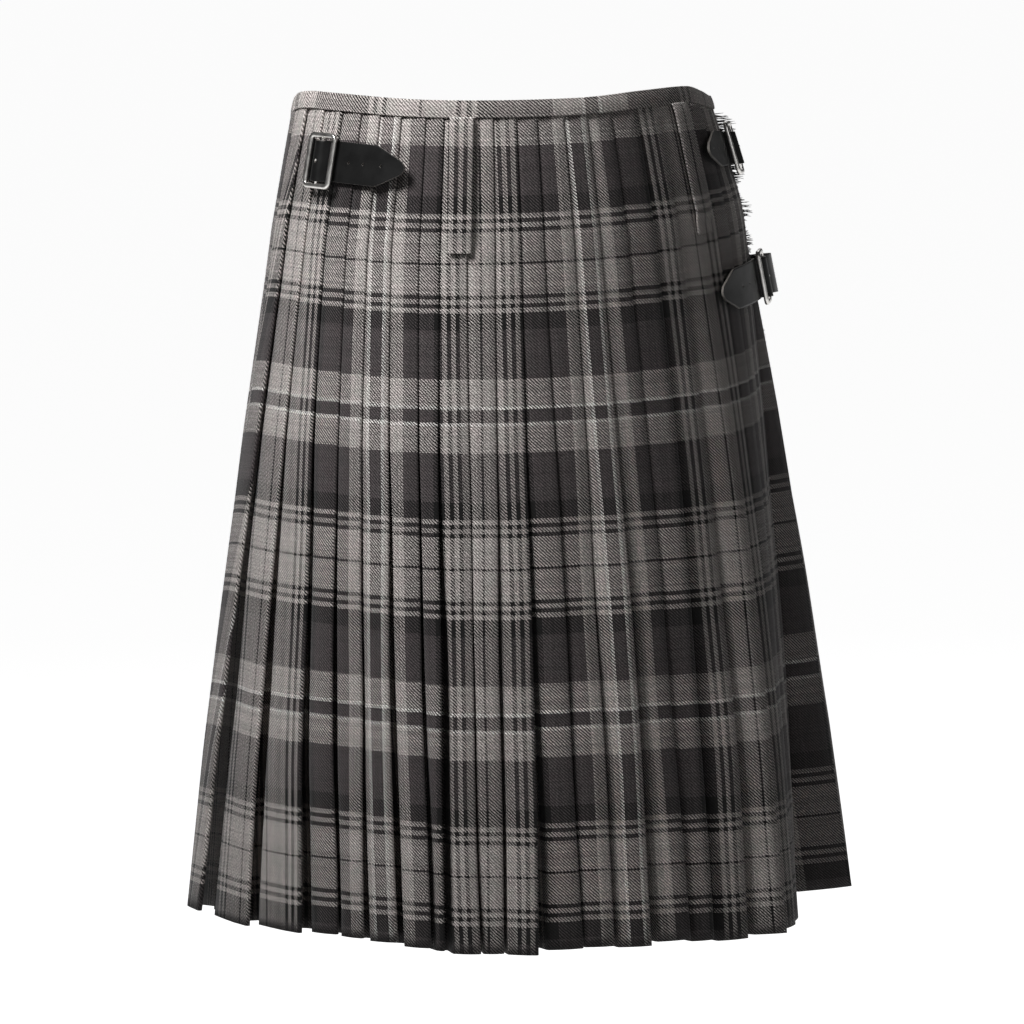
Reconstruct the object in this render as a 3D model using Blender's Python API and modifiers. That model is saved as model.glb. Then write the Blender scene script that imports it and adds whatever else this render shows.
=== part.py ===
"""A kilt, standing open as it does when worn.

Its back is knife pleated and its front is two aprons, one over the other. It has a waistband, two belt
loops, and three leather straps with their tabs and buckles.

Tables and named sizes are in millimetres and degrees. The model is in metres with +Z up. The origin is the
centre of the waist, the wearer faces -Y and the wearer's left is +X. An angle goes round the body from the
centre back: 0 is the centre back, 90 the wearer's right side, -90 the left side and 180 the centre front.
A drop is a distance below the top edge, and outward is a distance out from the plain form of the body.
"""

import math
from collections import namedtuple

import bmesh
import bpy
from mathutils import Matrix, Vector

MM = 0.001

LENGTH = 610.0
BAND_HEIGHT = 13.0
SEAM = 0.3
# The walls lean, so the panels start this far below the band for a narrow seam.
BAND_SEAM = 1.5
CLOTH = 1.2
BAND_THICK = 2.4
LEATHER = 1.8

# The plain form: an oval at each drop, which widens from the waist to the hem.
Section = namedtuple("Section", "drop half_width half_depth")
SECTIONS = (
    Section(0.0, 154.5, 133.0),
    Section(40.0, 164.0, 141.0),
    Section(95.0, 176.5, 150.5),
    Section(150.0, 186.0, 156.0),
    Section(250.0, 204.0, 168.5),
    Section(370.0, 223.0, 184.0),
    Section(490.0, 241.0, 198.5),
    Section(LENGTH, 256.0, 211.0),
)

# The waist sits this far over to the wearer's left, and the cloth comes back to the middle below it.
WAIST_LEAN = 2.8
LEAN_ENDS = 300.0

# The top edge and the hem aren't level: how far the cloth stands above its height at the centre back, at
# the top edge, at the hips and at the hem.
HIP_DROP = 90.0
Edge = namedtuple("Edge", "angle top hip hem")
EDGES = (
    Edge(-180.0, -36.0, -36.0, -36.0),
    Edge(-150.0, -28.0, -27.5, -24.0),
    Edge(-120.0, -9.0, -7.0, 3.0),
    Edge(-95.0, 6.0, 7.0, 18.0),
    Edge(-75.0, 7.0, 6.5, 17.0),
    Edge(-40.0, 2.2, 0.7, 9.5),
    Edge(0.0, 0.6, 0.0, 2.6),
    Edge(20.0, 3.0, 2.0, 0.2),
    Edge(40.0, 3.0, 5.6, -2.4),
    Edge(50.0, -2.0, 7.6, -5.0),
    Edge(60.0, -7.0, 9.0, -3.0),
    Edge(75.0, -9.5, 8.3, -0.5),
    Edge(95.0, -16.0, 1.5, 0.0),
    Edge(120.0, -20.0, -12.5, -9.0),
    Edge(150.0, -30.0, -28.0, -28.0),
    Edge(180.0, -36.0, -36.0, -36.0),
)

# Each pleat's outer fold edge: its angle where the pleats are sewn down and at the hem, and how far it
# stands proud of the plain form at the hem.
Fold = namedtuple("Fold", "sewn_angle hem_angle proud")
APRON_FOLD = Fold(-89.5, -92.1, 7.0)
FOLDS = (
    Fold(-80.0, -76.1, 0.0),
    Fold(-71.3, -61.7, 3.0),
    Fold(-63.8, -54.7, 0.0),
    Fold(-57.2, -49.0, 1.0),
    Fold(-50.4, -42.8, 3.0),
    Fold(-43.1, -37.1, 5.0),
    Fold(-37.9, -34.6, 6.0),
    Fold(-31.2, -28.7, 1.0),
    Fold(-24.6, -25.0, 1.0),
    Fold(-18.4, -19.2, 5.0),
    Fold(-12.9, -11.7, 2.0),
    Fold(-5.6, -6.7, 1.0),
    Fold(1.1, -0.2, 6.0),
    Fold(8.2, 6.9, 2.0),
    Fold(16.4, 10.9, 6.0),
    Fold(24.3, 17.8, 7.0),
    Fold(33.2, 24.0, 20.0),
    Fold(39.5, 31.0, 0.0),
    Fold(46.5, 38.0, -16.0),
    Fold(53.5, 46.0, -32.0),
    Fold(60.5, 55.0, -44.0),
    Fold(67.5, 64.0, -48.0),
    Fold(74.5, 70.5, -6.0),
    Fold(81.5, 79.0, 0.0),
)
PLEATS_END = Fold(88.5, 88.0, -2.4)
SWING_STARTS = 112.0

# Under each outer fold the cloth turns in, runs back and turns in again, at the waist and at the hem.
Tuck = namedtuple("Tuck", "turn back depth")
TUCK_TOP = Tuck(1.7, 6.0, 4.4)
TUCK_HEM = Tuck(2.6, 11.0, 9.0)

APRON_OUT = 2.2
APRON_OUT_HEM = 5.0
APRON_RETURN = 30.0
APRON_STEP = 8.0
APRON_EDGE = Fold(79.0, 96.0, 0.0)
UNDER_APRON_OUT = -2.4
UNDER_APRON_END = 245.0
BAND_BACK_OUT = -1.2
FRINGE_REACH = 8.0

LOOP_WIDTH = 17.0
LOOP_THICK = 2.0
LOOP_TOP = 14.7
LOOP_BOTTOM = 108.0
LOOP_OUT = 3.9
LOOP_END_OUT = 2.5
LEFT_LOOP_ANGLE = -32.6
RIGHT_LOOP_ANGLE = 33.4

BUCKLE_HEIGHT = 41.0
BUCKLE_LENGTH = 29.0
BUCKLE_BAR = 4.0
BUCKLE_THICK = 3.0
BUCKLE_CORNER = 4.0
BUCKLE_OUT = 7.5
STRAP_WIDTH = 28.8
TAB_WIDTH = 24.0
TIP_WIDTH = 5.0
TIP_LENGTH = 22.0
STRAP_UNDER_BAR = 4.0
STRAP_OVER_BAR = 10.4
BAR_CLEAR = 1.0
STRAP_ON_PLEATS = 2.3
TAB_OUT = 1.9
TAB_LENGTH = 34.0
ON_APRON_OUT = 5.3

# A strap's buckle, the drop of its middle, how far it bulges out before the buckle, and where it ends.
Strap = namedtuple("Strap", "name side drop buckle_angle root_angle bulge_angle bulge tip_angle")
STRAPS = (
    Strap("waist", "left", 48.0, -74.0, -83.0, None, 0.0, -46.6),
    Strap("waist", "right", 48.0, 62.0, 98.0, 79.0, 9.0, 38.2),
    Strap("hip", "right", 151.0, 63.0, 106.0, 82.0, 20.0, 33.0),
)

WOOL = ((0.42, 0.40, 0.39, 1.0), 0.9, 0.0)
BLACK_LEATHER = ((0.02, 0.02, 0.02, 1.0), 0.35, 0.0)
NICKEL = ((0.75, 0.74, 0.72, 1.0), 0.2, 1.0)


def blend(low, high, share):
    return low + (high - low) * share


def clamp(value):
    return min(max(value, 0.0), 1.0)


def oval(drop):
    """The plain form's half width and half depth at a drop."""
    inside = min(max(drop, 0.0), LENGTH)
    for above, below in zip(SECTIONS, SECTIONS[1:]):
        if inside <= below.drop:
            share = (inside - above.drop) / (below.drop - above.drop)
            break
    return blend(above.half_width, below.half_width, share), blend(above.half_depth, below.half_depth, share)


def edge_height(edge, drop):
    if drop < HIP_DROP:
        return blend(edge.top, edge.hip, drop / HIP_DROP)
    return blend(edge.hip, edge.hem, (drop - HIP_DROP) / (LENGTH - HIP_DROP))


def rise(angle, drop):
    """How far the cloth is lifted at an angle and a drop, between the top edge's height and the hem's."""
    turned = (angle + 180.0) % 360.0 - 180.0
    low = max(index for index, edge in enumerate(EDGES[:-1]) if edge.angle <= turned)
    rounds = len(EDGES) - 1
    heights = []
    for index in (low - 1, low, low + 1, low + 2):
        edge = EDGES[index % rounds]
        heights.append((edge.angle + 360.0 * (index // rounds), edge_height(edge, drop)))
    (angle_a, a), (angle_b, b), (angle_c, c), (angle_d, d) = heights
    span = angle_c - angle_b
    slope_b = (c - a) / (angle_c - angle_a) * span
    slope_c = (d - b) / (angle_d - angle_b) * span
    share = (turned - angle_b) / span
    curve = 2.0 * (b - c) + slope_b + slope_c
    bend = 3.0 * (c - b) - 2.0 * slope_b - slope_c
    return b + share * (slope_b + share * (bend + share * curve))


def on_form(angle, drop, outward=0.0):
    """A point on the plain form, or that far out from it, in millimetres."""
    half_width, half_depth = oval(drop)
    sine, cosine = math.sin(math.radians(angle)), math.cos(math.radians(angle))
    normal = Vector((-sine / half_width, cosine / half_depth)).normalized()
    lean = WAIST_LEAN * clamp(1.0 - drop / LEAN_ENDS)
    plan = Vector((lean - half_width * sine, half_depth * cosine)) + normal * outward
    return Vector((plan.x, plan.y, rise(angle, drop) - drop))


def degrees_for(length, angle, drop):
    """How many degrees a length takes up round the plain form."""
    ahead = on_form(angle + 1.0, drop) - on_form(angle, drop)
    return length / ahead.xy.length


def swing(drop):
    """How far down its free fall from the sewn pleats a drop is: 0 at the top and 1 at the hem."""
    return clamp((drop - SWING_STARTS) / (LENGTH - SWING_STARTS))


def fold_angle(fold, drop):
    return blend(fold.sewn_angle, fold.hem_angle, swing(drop))


def fold_edge(fold, drop):
    return on_form(fold_angle(fold, drop), drop, fold.proud * swing(drop))


def material(name, finish):
    colour, roughness, metallic = finish
    made = bpy.data.materials.new(name)
    made.use_nodes = True
    shader = made.node_tree.nodes["Principled BSDF"]
    shader.inputs["Base Color"].default_value = colour
    shader.inputs["Roughness"].default_value = roughness
    shader.inputs["Metallic"].default_value = metallic
    return made


def add_object(name, data, finish, collection):
    made = bpy.data.objects.new(name, data)
    data.materials.append(material(name, finish))
    collection.objects.link(made)
    return made


def add_wall(name, lines, thickness, finish, collection):
    """A wall through lines of points, one line above the other, each with the same number of points."""
    rows, columns = len(lines) - 1, len(lines[0]) - 1
    shape = bmesh.new()
    bmesh.ops.create_grid(shape, x_segments=columns, y_segments=rows, size=0.5)
    for vert in shape.verts:
        column = round((vert.co.x + 0.5) * columns)
        row = round((vert.co.y + 0.5) * rows)
        vert.co = lines[row][column] * MM
    mesh = bpy.data.meshes.new(name)
    shape.to_mesh(mesh)
    shape.free()
    made = add_object(name, mesh, finish, collection)
    solid = made.modifiers.new("wall", "SOLIDIFY")
    solid.thickness = thickness * MM
    solid.offset = 0.0
    solid.use_even_offset = True
    solid.use_quality_normals = True
    return made


def panel_drops():
    """The drops at which the panels are shaped, from just below the waistband to the hem."""
    return [BAND_HEIGHT + BAND_SEAM] + [section.drop for section in SECTIONS[1:]]


def pleat_line(drop):
    """The middle of the pleated cloth at a drop, from the wearer's left to the right."""
    down = drop / LENGTH
    turn = blend(TUCK_TOP.turn, TUCK_HEM.turn, down)
    back = blend(TUCK_TOP.back, TUCK_HEM.back, down)
    depth = blend(TUCK_TOP.depth, TUCK_HEM.depth, down)
    edges = [fold_edge(fold, drop) for fold in (APRON_FOLD, *FOLDS, PLEATS_END)]
    start_angle = fold_angle(APRON_FOLD, drop)
    edges[0] = on_form(start_angle, drop)
    line = []
    for before, edge, after in zip(edges, edges[1:], edges[2:]):
        along = (after - before).normalized()
        outward = Vector((along.y, -along.x, 0.0))
        if not line:
            line.append(before - along * back - outward * depth)
        line.append(edge)
        line.append(edge - outward * turn)
        line.append(edge - along * back - outward * (depth - turn))
        line.append(edge - along * back - outward * depth)
    line.append(edges[-1])
    return line


def apron_line(drop):
    """The middle of the over apron: its tucked return, its fold, and the front to its free edge."""
    out = blend(APRON_OUT, APRON_OUT_HEM, swing(drop))
    proud = out + (APRON_FOLD.proud - APRON_OUT_HEM) * swing(drop)
    start = fold_angle(APRON_FOLD, drop)
    tucked = start - degrees_for(APRON_RETURN, start, drop)
    turn = blend(TUCK_TOP.turn, TUCK_HEM.turn, drop / LENGTH)
    line = [on_form(tucked, drop, proud - 1.5 * turn), on_form(start, drop, proud - turn)]
    end = fold_angle(APRON_EDGE, drop) - 360.0
    steps = round((APRON_FOLD.sewn_angle - (APRON_EDGE.sewn_angle - 360.0)) / APRON_STEP)
    for step in range(steps + 1):
        share = step / steps
        line.append(on_form(blend(start, end, share), drop, blend(proud, out, clamp(share * 4.0))))
    return line


def under_apron_line(drop):
    """The middle of the under apron, from the last pleat round the front to its free edge."""
    start = fold_angle(PLEATS_END, drop)
    start += degrees_for(2.0 * SEAM, start, drop)
    steps = round((UNDER_APRON_END - start) / APRON_STEP)
    angles = [blend(start, UNDER_APRON_END, step / steps) for step in range(steps + 1)]
    return [on_form(angle, drop, UNDER_APRON_OUT) for angle in angles]


def fringe_line(drop):
    """The middle of the frayed edge, from the over apron's edge to the ends of its threads."""
    out = blend(APRON_OUT, APRON_OUT_HEM, swing(drop))
    edge = fold_angle(APRON_EDGE, drop)
    first = edge - degrees_for(SEAM, edge, drop)
    last = edge - degrees_for(SEAM + FRINGE_REACH, edge, drop)
    return [on_form(first, drop, out), on_form(last, drop, out)]


def band_line(drop):
    """The waistband's middle: from the over apron's edge round the front, the back and the front again."""
    line = []
    first, last = APRON_EDGE.sewn_angle - 360.0, UNDER_APRON_END
    steps = round((last - first) / APRON_STEP)
    for step in range(steps + 1):
        angle = blend(first, last, step / steps)
        over_to_back = clamp((angle - APRON_FOLD.sewn_angle) / APRON_STEP)
        back_to_under = clamp((angle - PLEATS_END.sewn_angle) / APRON_STEP)
        out = blend(APRON_OUT, BAND_BACK_OUT, over_to_back)
        out = blend(out, UNDER_APRON_OUT, back_to_under)
        line.append(on_form(angle, drop, out))
    return line


def loop_lines(middle):
    """A belt loop: sewn at both ends and standing off the pleats between them."""
    half = LOOP_WIDTH / 2.0
    lines = []
    for drop, out in (
        (LOOP_TOP, LOOP_END_OUT),
        (LOOP_TOP + 8.0, LOOP_OUT),
        (blend(LOOP_TOP, LOOP_BOTTOM, 0.5), LOOP_OUT),
        (LOOP_BOTTOM - 16.0, LOOP_OUT),
        (LOOP_BOTTOM - 8.0, LOOP_END_OUT),
        (LOOP_BOTTOM, LOOP_END_OUT),
    ):
        reach = degrees_for(half, middle, drop)
        angles = (middle - reach, middle, middle + reach)
        lines.append([on_form(angle, drop, out) for angle in angles])
    return lines


def leather_lines(stations, middle_drop):
    """A strip of leather through stations of angle, outward and width, level with a drop."""
    lines = []
    for share in (-0.5, 0.0, 0.5):
        lines.append([on_form(angle, middle_drop + share * width, out) for angle, out, width in stations])
    return lines


def strap_stations(strap):
    """Where a strap goes: from its root, through its buckle over the middle bar, to its pointed tip."""
    towards_tip = 1.0 if strap.tip_angle > strap.buckle_angle else -1.0

    def angle_at(length):
        return strap.buckle_angle + towards_tip * degrees_for(length, strap.buckle_angle, strap.drop)

    half = BUCKLE_LENGTH / 2.0
    window = half - BUCKLE_BAR - BAR_CLEAR
    crest = BUCKLE_BAR / 2.0 + BAR_CLEAR
    if strap.bulge_angle is None:
        path = [(strap.root_angle, STRAP_ON_PLEATS)]
    else:
        path = []
        for share in (0.0, 0.3, 0.7, 1.0):
            out = blend(ON_APRON_OUT, strap.bulge, math.sin(math.radians(90.0 * share)))
            path.append((blend(strap.root_angle, strap.bulge_angle, share), out))
        out = blend(STRAP_UNDER_BAR, strap.bulge, 0.6)
        path.append((blend(strap.bulge_angle, angle_at(-half), 0.6), out))
    path += [
        (angle_at(-half), STRAP_UNDER_BAR),
        (angle_at(-window), STRAP_UNDER_BAR),
        (angle_at(-crest), STRAP_OVER_BAR),
        (angle_at(crest), STRAP_OVER_BAR),
        (angle_at(window), STRAP_UNDER_BAR),
        (angle_at(half + 2.0), STRAP_UNDER_BAR),
    ]
    shoulder = strap.tip_angle - towards_tip * degrees_for(TIP_LENGTH, strap.tip_angle, strap.drop)
    steps = 4
    last_angle, last_out = path[-1]
    for step in range(1, steps + 1):
        share = step / steps
        path.append((blend(last_angle, shoulder, share), last_out))
    stations = [(angle, out, STRAP_WIDTH) for angle, out in path]
    stations.append((blend(shoulder, strap.tip_angle, 0.5), last_out, blend(STRAP_WIDTH, TIP_WIDTH, 0.5)))
    stations.append((strap.tip_angle, last_out, TIP_WIDTH))
    return stations


def tab_stations(strap):
    """The tab that holds a buckle: it starts under the middle bar and is sewn down under the strap."""
    towards_tip = 1.0 if strap.tip_angle > strap.buckle_angle else -1.0
    reach = towards_tip * degrees_for(TAB_LENGTH, strap.buckle_angle, strap.drop)
    steps = 4
    angles = [strap.buckle_angle + reach * step / steps for step in range(steps + 1)]
    return [(angle, TAB_OUT, TAB_WIDTH) for angle in angles]


def rounded_rectangle(width, height, corner, middle=0.0):
    """The corner points of a rectangle with round corners, in the order that they go round it."""
    points = []
    for turn, (side, end) in enumerate(((1, 1), (-1, 1), (-1, -1), (1, -1))):
        centre = Vector((middle + side * (width / 2.0 - corner), end * (height / 2.0 - corner)))
        for step in range(4):
            angle = math.radians(90.0 * turn + 30.0 * step)
            points.append(centre + Vector((math.cos(angle), math.sin(angle))) * corner)
    return points


def add_buckle(name, strap, collection):
    """A flat buckle with a middle bar, lying on the form round its strap."""
    curve = bpy.data.curves.new(name, "CURVE")
    curve.dimensions = "2D"
    curve.fill_mode = "BOTH"
    curve.extrude = BUCKLE_THICK * MM / 2.0
    window = (BUCKLE_LENGTH - 3.0 * BUCKLE_BAR) / 2.0
    offset = (window + BUCKLE_BAR) / 2.0
    tall = BUCKLE_HEIGHT - 2.0 * BUCKLE_BAR
    outlines = (
        rounded_rectangle(BUCKLE_LENGTH, BUCKLE_HEIGHT, BUCKLE_CORNER),
        rounded_rectangle(window, tall, 1.0, offset),
        rounded_rectangle(window, tall, 1.0, -offset),
    )
    for outline in outlines:
        spline = curve.splines.new("POLY")
        spline.points.add(len(outline) - 1)
        spline.use_cyclic_u = True
        for point, place in zip(spline.points, outline):
            point.co = (place.x * MM, place.y * MM, 0.0, 1.0)
    made = add_object(name, curve, NICKEL, collection)
    centre = on_form(strap.buckle_angle, strap.drop, BUCKLE_OUT)
    across = (on_form(strap.buckle_angle + 1.0, strap.drop) - on_form(strap.buckle_angle - 1.0, strap.drop))
    down = on_form(strap.buckle_angle, strap.drop + 5.0) - on_form(strap.buckle_angle, strap.drop - 5.0)
    across.normalize()
    outward = across.cross(-down).normalized() * -1.0
    up = outward.cross(across)
    made.matrix_world = Matrix.Translation(centre * MM) @ Matrix((across, up, outward)).transposed().to_4x4()
    return made


def build():
    for old in list(bpy.data.objects):
        bpy.data.objects.remove(old)
    collection = bpy.data.collections.new("kilt")
    bpy.context.scene.collection.children.link(collection)
    drops = panel_drops()
    add_wall("waistband", [band_line(drop) for drop in (0.0, BAND_HEIGHT)], BAND_THICK, WOOL, collection)
    add_wall("pleated_back", [pleat_line(drop) for drop in drops], CLOTH, WOOL, collection)
    add_wall("over_apron", [apron_line(drop) for drop in drops], CLOTH, WOOL, collection)
    add_wall("apron_fringe", [fringe_line(drop) for drop in drops], CLOTH, WOOL, collection)
    add_wall("under_apron", [under_apron_line(drop) for drop in drops], CLOTH, WOOL, collection)
    add_wall("belt_loop_left", loop_lines(LEFT_LOOP_ANGLE), LOOP_THICK, WOOL, collection)
    add_wall("belt_loop_right", loop_lines(RIGHT_LOOP_ANGLE), LOOP_THICK, WOOL, collection)
    for strap in STRAPS:
        strap_name = f"{strap.name}_strap_{strap.side}"
        tab_name = f"{strap.name}_tab_{strap.side}"
        strap_lines = leather_lines(strap_stations(strap), strap.drop)
        tab_lines = leather_lines(tab_stations(strap), strap.drop)
        add_wall(strap_name, strap_lines, LEATHER, BLACK_LEATHER, collection)
        add_wall(tab_name, tab_lines, LEATHER, BLACK_LEATHER, collection)
        add_buckle(f"{strap.name}_buckle_{strap.side}", strap, collection)


build()
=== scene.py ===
"""Dresses the kilt's frame: tartan pleats and aprons, waistband, belt loops, fringe, straps and buckles."""

import math
import random
from collections import namedtuple

import bmesh
import bpy
from mathutils import Matrix, Vector


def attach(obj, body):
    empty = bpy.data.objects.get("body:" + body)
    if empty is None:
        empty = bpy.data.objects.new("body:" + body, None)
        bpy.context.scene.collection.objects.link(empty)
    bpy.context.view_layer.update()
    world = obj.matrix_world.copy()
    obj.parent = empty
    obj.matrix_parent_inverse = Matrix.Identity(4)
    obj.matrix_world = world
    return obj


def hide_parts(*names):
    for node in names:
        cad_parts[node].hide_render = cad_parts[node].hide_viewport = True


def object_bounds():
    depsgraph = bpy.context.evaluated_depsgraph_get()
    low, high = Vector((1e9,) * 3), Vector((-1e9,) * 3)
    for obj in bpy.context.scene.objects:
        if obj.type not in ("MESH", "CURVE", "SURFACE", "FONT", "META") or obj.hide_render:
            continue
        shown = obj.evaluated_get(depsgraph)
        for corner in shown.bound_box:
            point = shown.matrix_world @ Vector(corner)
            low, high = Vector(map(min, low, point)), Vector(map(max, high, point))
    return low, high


bl_info = {
    "name": "Kilt",
    "version": (1, 0, 0),
    "blender": (4, 5, 0),
    "location": "View3D > Sidebar > Kilt",
    "description": "Builds the cloth, leather and metal of a worn kilt round its frame",
    "category": "Add Mesh",
}

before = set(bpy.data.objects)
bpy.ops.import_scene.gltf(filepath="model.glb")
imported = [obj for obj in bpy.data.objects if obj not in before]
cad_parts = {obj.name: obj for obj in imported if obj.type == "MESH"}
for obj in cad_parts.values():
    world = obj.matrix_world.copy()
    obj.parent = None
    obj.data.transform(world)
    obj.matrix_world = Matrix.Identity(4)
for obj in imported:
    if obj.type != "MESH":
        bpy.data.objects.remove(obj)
CAD_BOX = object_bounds()

# Tables and named sizes are in millimetres and degrees, as in the frame. An angle goes round the body from
# the centre back, positive towards the wearer's right; a drop is a distance below the top edge.
MM = 0.001
LENGTH = 610.0
BAND_HEIGHT = 13.0
SEWN_DROP = 150.0
SWING_STARTS = 112.0
APRON_OUT = 2.2
APRON_OUT_HEM = 5.0
APRON_RETURN = 30.0
UNDER_APRON_OUT = -2.4
UNDER_APRON_END = 245.0
UNDER_APRON_LAP = 6.0

Section = namedtuple("Section", "drop half_width half_depth")
SECTIONS = (
    Section(0.0, 154.5, 133.0),
    Section(40.0, 164.0, 141.0),
    Section(95.0, 176.5, 150.5),
    Section(150.0, 186.0, 156.0),
    Section(250.0, 204.0, 168.5),
    Section(370.0, 223.0, 184.0),
    Section(490.0, 241.0, 198.5),
    Section(LENGTH, 256.0, 211.0),
)

# The waist sits this far over to the wearer's left, and the cloth comes back to the middle below it.
WAIST_LEAN = 2.8
LEAN_ENDS = 300.0

# The top edge and the hem aren't level: how far the cloth stands above its height at the centre back, at
# the top edge, at the hips and at the hem.
HIP_DROP = 90.0
Edge = namedtuple("Edge", "angle top hip hem")
EDGES = (
    Edge(-180.0, -36.0, -36.0, -36.0),
    Edge(-150.0, -28.0, -27.5, -24.0),
    Edge(-120.0, -9.0, -7.0, 3.0),
    Edge(-95.0, 6.0, 7.0, 18.0),
    Edge(-75.0, 7.0, 6.5, 17.0),
    Edge(-40.0, 2.2, 0.7, 9.5),
    Edge(0.0, 0.6, 0.0, 2.6),
    Edge(20.0, 3.0, 2.0, 0.2),
    Edge(40.0, 3.0, 5.6, -2.4),
    Edge(50.0, -2.0, 7.6, -5.0),
    Edge(60.0, -7.0, 9.0, -3.0),
    Edge(75.0, -9.5, 8.3, -0.5),
    Edge(95.0, -16.0, 1.5, 0.0),
    Edge(120.0, -20.0, -12.5, -9.0),
    Edge(150.0, -30.0, -28.0, -28.0),
    Edge(180.0, -36.0, -36.0, -36.0),
)

# Each pleat's outer fold edge: its angle where the pleats are sewn down and at the hem, how far it stands
# proud at the hem, how deep the hollow beside it is there, and how far below the others the pleat hangs.
Fold = namedtuple("Fold", "sewn_angle hem_angle proud hollow hang")
APRON_FOLD = Fold(-89.5, -92.1, 7.0, 9.0, 0.0)
FOLDS = (
    Fold(-80.0, -76.1, 0.0, 8.0, 2.0),
    Fold(-71.3, -61.7, 3.0, 8.0, -2.0),
    Fold(-63.8, -54.7, 0.0, 7.0, -4.0),
    Fold(-57.2, -49.0, 1.0, 7.0, -4.0),
    Fold(-50.4, -42.8, 3.0, 9.0, -3.0),
    Fold(-43.1, -37.1, 5.0, 11.0, -1.0),
    Fold(-37.9, -34.6, 6.0, 13.0, 1.0),
    Fold(-31.2, -28.7, 1.0, 7.0, 3.0),
    Fold(-24.6, -25.0, 1.0, 7.0, 3.0),
    Fold(-18.4, -19.2, 5.0, 12.0, 3.0),
    Fold(-12.9, -11.7, 2.0, 7.0, 0.0),
    Fold(-5.6, -6.7, 1.0, 7.0, -1.0),
    Fold(1.1, -0.2, 6.0, 12.0, 0.0),
    Fold(8.2, 6.9, 2.0, 7.0, -2.0),
    Fold(16.4, 10.9, 6.0, 13.0, 0.0),
    Fold(24.3, 17.8, 7.0, 10.0, 2.0),
    Fold(33.2, 24.0, 20.0, 10.0, 0.0),
    Fold(39.5, 31.0, 0.0, 9.0, 0.0),
    Fold(46.5, 38.0, -16.0, 9.0, 0.0),
    Fold(53.5, 46.0, -32.0, 9.0, 0.0),
    Fold(60.5, 55.0, -44.0, 9.0, 0.0),
    Fold(67.5, 64.0, -48.0, 9.0, 0.0),
    Fold(74.5, 70.5, -6.0, 9.0, 0.0),
    Fold(81.5, 79.0, 0.0, 9.0, 0.0),
)
PLEATS_END = Fold(88.5, 88.0, -2.4, 0.0, 0.0)
APRON_EDGE = Fold(79.0, 96.0, 0.0, 0.0, 0.0)

# The sett, from one pivot to the other: each stripe's width and its yarn.
Stripe = namedtuple("Stripe", "width yarn")
HALF_SETT = (
    Stripe(0.7, "black"),
    Stripe(21.8, "light"),
    Stripe(2.9, "black"),
    Stripe(3.6, "light"),
    Stripe(2.9, "black"),
    Stripe(3.6, "light"),
    Stripe(12.4, "black"),
    Stripe(34.9, "charcoal"),
    Stripe(19.6, "light"),
    Stripe(2.2, "white"),
    Stripe(5.1, "charcoal"),
)
HALF_SETT_WIDTH = sum(stripe.width for stripe in HALF_SETT)
SETT = 2.0 * HALF_SETT_WIDTH
PLEATS_IN_SETT = 8
CENTRE_PLEAT = 13
PIVOT_DROP = 115.5
FOLD_FROM_STRIPE = 9.0

# The band is stretched as it is sewn on, so its sett is this much wider. A pivot of its sett lies this far
# round from the centre back, and its top edge this far below one.
BAND_EASE = 1.14
BAND_PIVOT = 8.0
BAND_STRIPE_DOWN = 3.5
BAND_DROPS = (BAND_HEIGHT - 0.2, BAND_HEIGHT - 1.2, 10.0, 7.0, 4.0, 1.4, 0.4)
BAND_STEPS = 260
BAND_THICKNESS = 2.2
BAND_ON_APRON = APRON_OUT + 0.8
BAND_ON_PLEATS = 0.6

BUCKLE_HEIGHT = 41.0
BUCKLE_LENGTH = 29.0
BUCKLE_BAR = 4.0
BUCKLE_OUT = 7.5
BUCKLE_CORNER = 5.0
BUCKLE_DEPTH = 3.4
BUCKLE_ROUNDING = 1.45
MIDDLE_BAR_RADIUS = 1.6
PRONG_RADIUS = 1.2
PRONG_TIP_RADIUS = 0.8
PRONG_LENGTH = 4.4
PRONG_OUT = 2.4
STRAP_WIDTH = 28.8
TAB_WIDTH = 24.0
TAB_LENGTH = 34.0
TAB_OUT = 1.9
TAB_ROWS = 6
TAB_STEPS = 16
STRAP_UNDER_BAR = 4.0
STRAP_OVER_BAR = 10.4
BAR_CLEAR = 1.0
STRAP_ON_PLEATS = 2.3
ON_APRON_OUT = 5.3
TIP_LENGTH = 24.0
TIP_WIDTH = 7.0
TIP_ROUND = 2.5
TIP_BLUNT = 0.25
STRAP_STEP = 2.2
STRAP_ROWS = 12
TIP_SPRING = 6.0
HOLE_DISTANCES = (0.0, 24.0, 38.0, 52.0)
LOOP_WIDTH = 17.0
LOOP_TOP = 12.0
LOOP_BOTTOM = 108.0
LOOP_OUT = 3.9
LOOP_END_OUT = 2.5
LOOP_THICKNESS = 1.8
LOOP_ROWS = 40
LOOP_STEPS = 8

Strap = namedtuple("Strap", "name side drop buckle_angle root_angle bulge_angle bulge tip_angle")
STRAPS = (
    Strap("waist", "left", 48.0, -74.0, -83.0, None, 0.0, -46.6),
    Strap("waist", "right", 48.0, 62.0, 98.0, 79.0, 9.0, 38.2),
    Strap("hip", "right", 151.0, 63.0, 106.0, 82.0, 20.0, 33.0),
)
BeltLoop = namedtuple("BeltLoop", "side angle pleat")
LOOPS = (BeltLoop("left", -32.6, 8), BeltLoop("right", 33.4, 17))


# ---------------------------------------------------------------- sizes and colours that a user may change


def colour_property(name, description, default):
    return bpy.props.FloatVectorProperty(
        name=name, description=description, subtype="COLOR", size=3, min=0.0, max=1.0, default=default)


def length_property(name, description, low, high, default):
    return bpy.props.FloatProperty(
        name=name, description=description, unit="LENGTH", min=low, max=high, default=default)


def angle_property(name, description, degrees):
    return bpy.props.FloatProperty(
        name=name, description=description, subtype="ANGLE", default=math.radians(degrees))


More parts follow.
